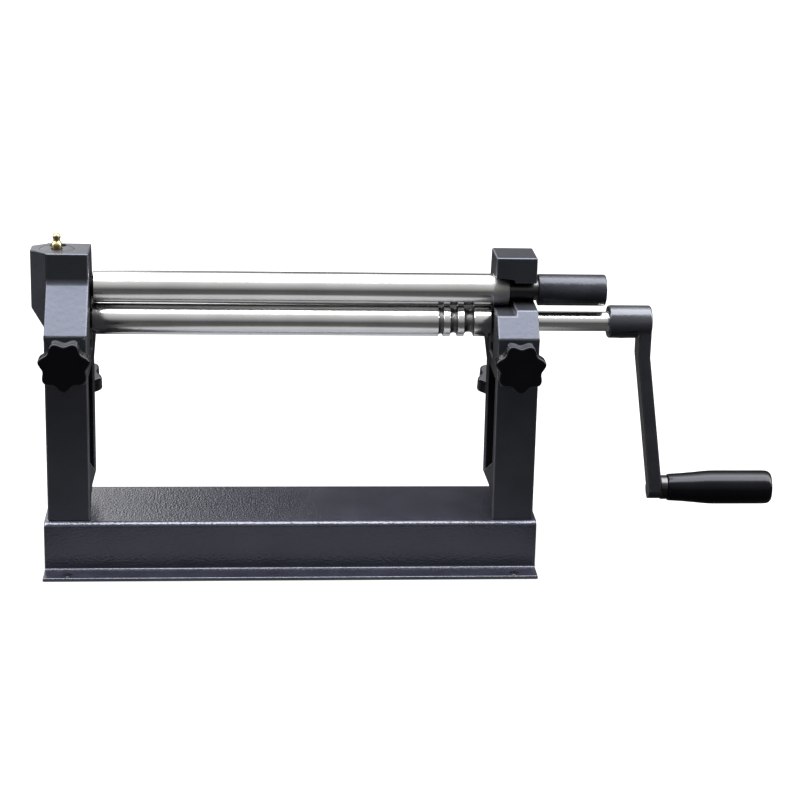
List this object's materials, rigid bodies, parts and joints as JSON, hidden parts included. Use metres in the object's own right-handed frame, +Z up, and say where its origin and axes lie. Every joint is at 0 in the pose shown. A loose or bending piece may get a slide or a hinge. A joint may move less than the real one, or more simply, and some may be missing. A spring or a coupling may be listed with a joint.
{
  "type": "slip roll machine",
  "caption": "Bench slip roll with two cast housings on a folded base, three steel rolls, a swing-out upper roll, screw adjusters with star knobs and a hand crank.",
  "frame": {"origin": "centre of the four bench bolt holes, on the bench plane", "axes": "+X along the rolls towards the crank, -Y towards the operator, +Z up"},
  "size_m": [0.605, 0.1571, 0.2635],
  "materials": {
    "base_paint": "textured dark grey hammer-finish enamel",
    "housing_paint": "textured dark grey enamel on cast iron",
    "roll_steel": "ground and polished steel",
    "screw_steel": "zinc plated steel",
    "pivot_paint": "dark grey enamel",
    "handle_paint": "hammered grey enamel",
    "bronze": "machined bearing bronze",
    "brass": "bright brass",
    "knob_plastic": "glossy black phenolic",
    "grip_plastic": "glossy black phenolic",
    "crank_paint": "hammered dark grey enamel"
  },
  "bodies": {
    "frame": {"base_channel": "base_paint", "left_housing": "housing_paint", "right_housing": "housing_paint", "housing_bolts": "screw_steel", "housing_washers": "screw_steel"},
    "swivel": {"trunnion": "pivot_paint", "trunnion_bush": "bronze", "grease_nipple": "brass"},
    "upper": {"upper_roll": "roll_steel", "pull_handle": "handle_paint", "handle_set_screw": "screw_steel"},
    "front_carriage": {"front_block_left": "bronze", "front_block_right": "bronze"},
    "front": {"front_roll": "roll_steel", "crank_arm": "crank_paint", "crank_set_screw": "screw_steel", "grip_spindle": "screw_steel", "grip_collar": "screw_steel"},
    "grip": {"crank_grip": "grip_plastic"},
    "rear_carriage": {"rear_block_left": "bronze", "rear_block_right": "bronze"},
    "rear": {"rear_roll": "roll_steel"},
    "wedge_left": {"wedge_pin_left": "screw_steel"},
    "front_adjuster_left": {"front_screw_left": "screw_steel", "front_knob_left": "knob_plastic"},
    "rear_adjuster_left": {"rear_screw_left": "screw_steel", "rear_knob_left": "knob_plastic"},
    "wedge_right": {"wedge_pin_right": "screw_steel"},
    "front_adjuster_right": {"front_screw_right": "screw_steel", "front_knob_right": "knob_plastic"},
    "rear_adjuster_right": {"rear_screw_right": "screw_steel", "rear_knob_right": "knob_plastic"}
  },
  "joints": [
    {"name": "upper_swing", "type": "hinge", "parent": "frame", "child": "swivel", "pos_m": [-0.1854, 0.0085, 0.221], "axis": [0, 0, -1], "range_deg": [0, 9]},
    {"name": "upper_spin", "type": "hinge", "parent": "swivel", "child": "upper", "pos_m": [0, 0.0085, 0.221], "axis": [1, 0, 0], "continuous": true},
    {"name": "front_lift", "type": "slide", "parent": "frame", "child": "front_carriage", "axis": [0, 0, 1], "range_m": [-0.0014, 0.0005]},
    {"name": "front_spin", "type": "hinge", "parent": "front_carriage", "child": "front", "pos_m": [0, 0.0085, 0.1949], "axis": [1, 0, 0], "continuous": true},
    {"name": "grip_spin", "type": "hinge", "parent": "front", "child": "grip", "pos_m": [0.355, 0.0085, 0.0525], "axis": [1, 0, 0], "continuous": true},
    {"name": "rear_travel", "type": "slide", "parent": "frame", "child": "rear_carriage", "axis": [0, -0.4226, 0.9063], "range_m": [-0.008, 0.01]},
    {"name": "rear_spin", "type": "hinge", "parent": "rear_carriage", "child": "rear", "pos_m": [0, 0.0405, 0.19], "axis": [1, 0, 0], "continuous": true},
    {"name": "wedge_slide_left", "type": "slide", "parent": "frame", "child": "wedge_left", "axis": [0, 1, 0], "range_m": [-0.00495, 0.0053]},
    {"name": "front_screw_turn_left", "type": "hinge", "parent": "wedge_left", "child": "front_adjuster_left", "pos_m": [-0.176, -0.004, 0.1745], "axis": [0, 1, 0], "range_deg": [-1180, 424]},
    {"name": "rear_screw_turn_left", "type": "hinge", "parent": "rear_carriage", "child": "rear_adjuster_left", "pos_m": [-0.176, 0.04304, 0.18456], "axis": [0, -0.4226, 0.9063], "range_deg": [-1925, 2405]},
    {"name": "wedge_slide_right", "type": "slide", "parent": "frame", "child": "wedge_right", "axis": [0, 1, 0], "range_m": [-0.00495, 0.0053]},
    {"name": "front_screw_turn_right", "type": "hinge", "parent": "wedge_right", "child": "front_adjuster_right", "pos_m": [0.176, -0.004, 0.1745], "axis": [0, 1, 0], "range_deg": [-1180, 424]},
    {"name": "rear_screw_turn_right", "type": "hinge", "parent": "rear_carriage", "child": "rear_adjuster_right", "pos_m": [0.176, 0.04304, 0.18456], "axis": [0, -0.4226, 0.9063], "range_deg": [-1925, 2405]}
  ],
  "couplings": [
    {"joint": "wedge_slide_left", "follows": "front_lift", "ratio": 3.5},
    {"joint": "front_screw_turn_left", "follows": "front_lift", "rad_per_m": 14661},
    {"joint": "rear_screw_turn_left", "follows": "rear_travel", "rad_per_m": 4188.8},
    {"joint": "wedge_slide_right", "follows": "front_lift", "ratio": 3.5},
    {"joint": "front_screw_turn_right", "follows": "front_lift", "rad_per_m": 14661},
    {"joint": "rear_screw_turn_right", "follows": "rear_travel", "rad_per_m": 4188.8}
  ]
}
